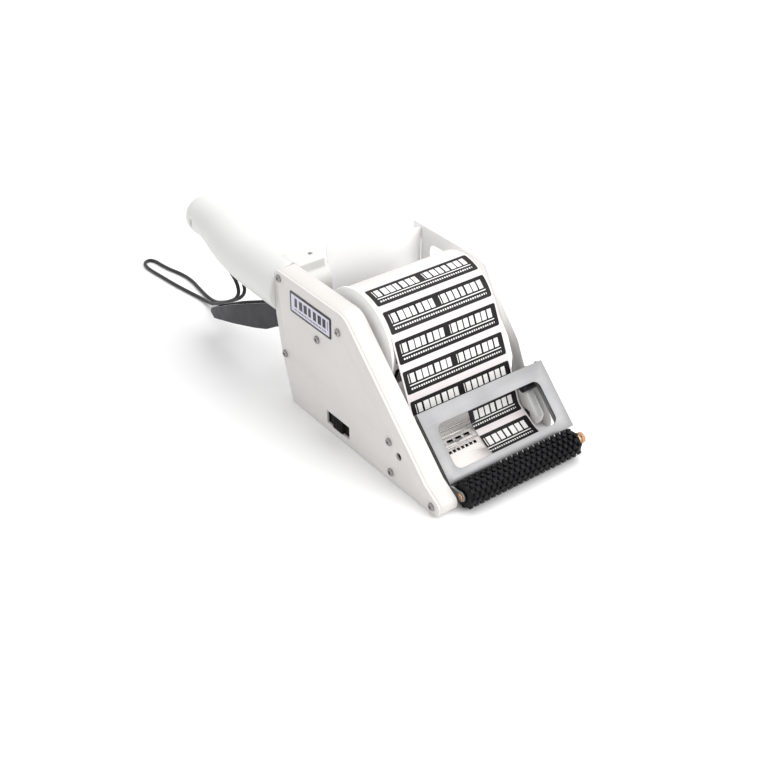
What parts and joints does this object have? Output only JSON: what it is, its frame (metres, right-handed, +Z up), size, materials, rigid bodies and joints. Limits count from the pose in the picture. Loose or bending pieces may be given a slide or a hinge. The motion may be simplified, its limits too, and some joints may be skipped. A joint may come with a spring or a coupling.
{
  "type": "label applicator",
  "caption": "Hand-held label applicator: roll of labels between side frames, hinged front window with application roller, round handle with squeeze trigger and wrist strap.",
  "frame": {"origin": "on the surface it rests on, under the middle of the base plate's width", "axes": "+Y towards the handle, -Y towards the application roller, +X towards the right side frame, +Z up"},
  "size_m": [0.1552, 0.4908, 0.126],
  "materials": {
    "white_paint": "satin",
    "white_casting": "satin",
    "base_steel": "satin",
    "steel": "satin",
    "chrome_cover": "satin",
    "polished_steel": "polished",
    "dark_steel": "satin",
    "black_plastic": "matt",
    "white_plastic": "gloss",
    "black_rubber": "matt",
    "brass": "satin",
    "paper": "smooth paper",
    "cardboard": "matt",
    "plate_print": "gloss",
    "cord": "braided"
  },
  "bodies": {
    "housing": {"gear_case": "white_paint", "side_plate": "white_paint", "plate_screws": "steel", "name_plate": "plate_print", "right_frame": "white_paint", "base_plate": "base_steel", "tie_rods": "steel", "frame_screws": "steel", "rear_sheet": "white_paint", "handle": "white_casting", "trigger_pin": "steel", "spring_post": "steel", "return_spring": "steel", "feed_bearings": "brass", "roll_shaft": "steel", "shaft_knob": "black_plastic", "label_web": "paper", "peel_plate": "polished_steel", "guide_plate": "polished_steel", "guide_strip": "dark_steel", "guide_shaft": "dark_steel", "edge_guide": "white_plastic", "hinge_rod": "steel", "strap_ferrule": "steel", "wrist_strap": "cord"},
    "roll": {"label_roll": "paper", "roll_core": "cardboard", "left_hub": "white_plastic", "right_hub": "white_plastic"},
    "bracket": {"front_cover": "chrome_cover", "left_cheek": "chrome_cover", "right_cheek": "chrome_cover", "roller_axle": "steel", "axle_brass": "brass"},
    "roller": {"application_roller": "black_rubber", "roller_core": "white_plastic"},
    "trigger": {"trigger_lever": "dark_steel", "trigger_arm": "steel", "arm_pin": "steel"},
    "rack": {"drive_rack": "dark_steel"},
    "feed": {"feed_shaft": "steel", "feed_roller": "black_rubber", "clutch_pinion": "dark_steel"},
    "pinch": {"pinch_roller": "black_rubber"},
    "slide": {"pitch_slide": "black_plastic"}
  },
  "joints": [
    {"name": "trigger_squeeze", "type": "hinge", "parent": "housing", "child": "trigger", "pos_m": [-0.065, 0.072, 0.08], "axis": [1, 0, 0], "range_deg": [0, 16], "stiffness_Nm_per_rad": 0.8, "deforming": ["return_spring"]},
    {"name": "rack_slide", "type": "slide", "parent": "housing", "child": "rack", "axis": [0, 1, 0], "range_m": [0, 0.0121]},
    {"name": "feed_turn", "type": "hinge", "parent": "housing", "child": "feed", "pos_m": [0.001, -0.03, 0.0125], "axis": [1, 0, 0], "range_deg": [0, 138]},
    {"name": "pinch_turn", "type": "hinge", "parent": "housing", "child": "pinch", "pos_m": [0.001, -0.0146, 0.0125], "axis": [1, 0, 0], "range_deg": [-276, 0]},
    {"name": "roll_spin", "type": "hinge", "parent": "housing", "child": "roll", "pos_m": [0.0037, 0.0335, 0.0814], "axis": [1, 0, 0], "continuous": true},
    {"name": "bracket_hinge", "type": "hinge", "parent": "housing", "child": "bracket", "pos_m": [0.006, -0.041, 0.0495], "axis": [-1, 0, 0], "range_deg": [0, 100]},
    {"name": "roller_spin", "type": "hinge", "parent": "bracket", "child": "roller", "pos_m": [0.005, -0.097, 0.0114], "axis": [1, 0, 0], "continuous": true},
    {"name": "pitch_adjust", "type": "slide", "parent": "housing", "child": "slide", "axis": [0, 1, 0], "range_m": [-0.008, 0.008]}
  ],
  "couplings": [
    {"joint": "rack_slide", "follows": "trigger_squeeze", "m_per_rad": 0.0431},
    {"joint": "feed_turn", "follows": "trigger_squeeze", "ratio": 8.62},
    {"joint": "pinch_turn", "follows": "trigger_squeeze", "ratio": -17.24}
  ]
}
